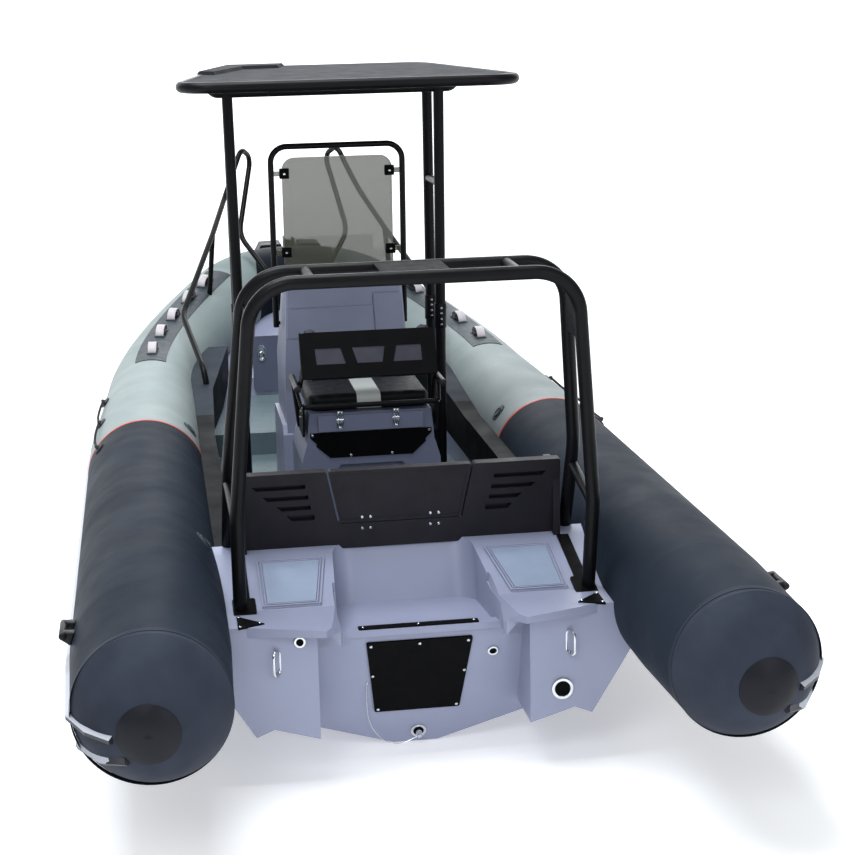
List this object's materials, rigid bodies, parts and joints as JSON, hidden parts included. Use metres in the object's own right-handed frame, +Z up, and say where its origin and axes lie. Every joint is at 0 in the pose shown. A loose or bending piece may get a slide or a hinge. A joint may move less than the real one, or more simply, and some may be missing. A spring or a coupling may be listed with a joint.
{
  "type": "rigid inflatable boat",
  "caption": "Rigid inflatable boat with a deep-V hull, air tubes, motor well, helm seat, console with screen, hard top, stern arch and bow grab rails.",
  "frame": {"origin": "On the centreline at the waterline, over the head of the transom.", "axes": "+X is starboard, +Y is the bow, +Z is up."},
  "size_m": [2.5076, 6.8968, 2.4585],
  "materials": {
    "black_plate": "satin",
    "black_rubber": "matt",
    "black_tube": "powder coat",
    "dash_grey": "satin",
    "hull_paint": "satin",
    "panel_grey": "satin",
    "sole_grip": "matt ribbed",
    "tinted": "tinted",
    "tube_dark": "matt coated fabric",
    "tube_light": "matt coated fabric",
    "vinyl": "stitched vinyl",
    "wheel_black": "soft"
  },
  "bodies": {
    "boat": {"aft_deck": "hull_paint", "aft_panel": "panel_grey", "arch": "black_tube", "arch_feet": "black_plate", "bow_platform": "black_rubber", "coamings": "hull_paint", "console": "hull_paint", "dash_panels": "dash_grey", "engine_plate": "black_plate", "foredeck": "hull_paint", "handle_patches": "black_rubber", "hull": "hull_paint", "leg_feet": "black_plate", "light_plate": "black_plate", "rail_port": "black_tube", "rail_starboard": "black_tube", "roof": "black_plate", "rub_strakes": "black_rubber", "screen": "tinted", "screen_hoop": "black_tube", "seat_arms": "black_tube", "seat_box": "hull_paint", "seat_cushion": "vinyl", "seat_plate": "black_plate", "sill_strip": "black_plate", "sole": "sole_grip", "top_frame": "black_tube", "tube_bow": "tube_light", "tube_caps": "black_rubber", "tube_mid_port": "tube_light", "tube_mid_starboard": "tube_light", "tube_stern_port": "tube_dark", "tube_stern_starboard": "tube_dark", "wheel_mount": "wheel_black"},
    "gate": {"gate": "panel_grey"},
    "backrest": {"back_frame": "black_plate", "backrest": "vinyl"},
    "seat_hatch": {"seat_hatch": "hull_paint"},
    "locker_door": {"locker_door": "hull_paint"},
    "steering_wheel": {"steering_wheel": "wheel_black"}
  },
  "joints": [
    {"name": "gate_hinge", "type": "hinge", "parent": "boat", "child": "gate", "pos_m": [0, 0.4073, 0.452], "axis": [1, 0, 0], "range_deg": [0, 92]},
    {"name": "backrest_flip", "type": "hinge", "parent": "boat", "child": "backrest", "pos_m": [0, 1.42, 0.805], "axis": [1, 0, 0], "range_deg": [-80, 0]},
    {"name": "seat_hatch_hinge", "type": "hinge", "parent": "boat", "child": "seat_hatch", "pos_m": [0, 1.296, 0.61], "axis": [1, 0, 0], "range_deg": [0, 90]},
    {"name": "locker_door_hinge", "type": "hinge", "parent": "boat", "child": "locker_door", "pos_m": [0, 4.282, 0.191], "axis": [1, 0, 0], "range_deg": [0, 88]},
    {"name": "wheel_turn", "type": "hinge", "parent": "boat", "child": "steering_wheel", "pos_m": [0, 2.14169, 0.68796], "axis": [0, -0.9397, 0.342], "range_deg": [-540, 540]}
  ]
}
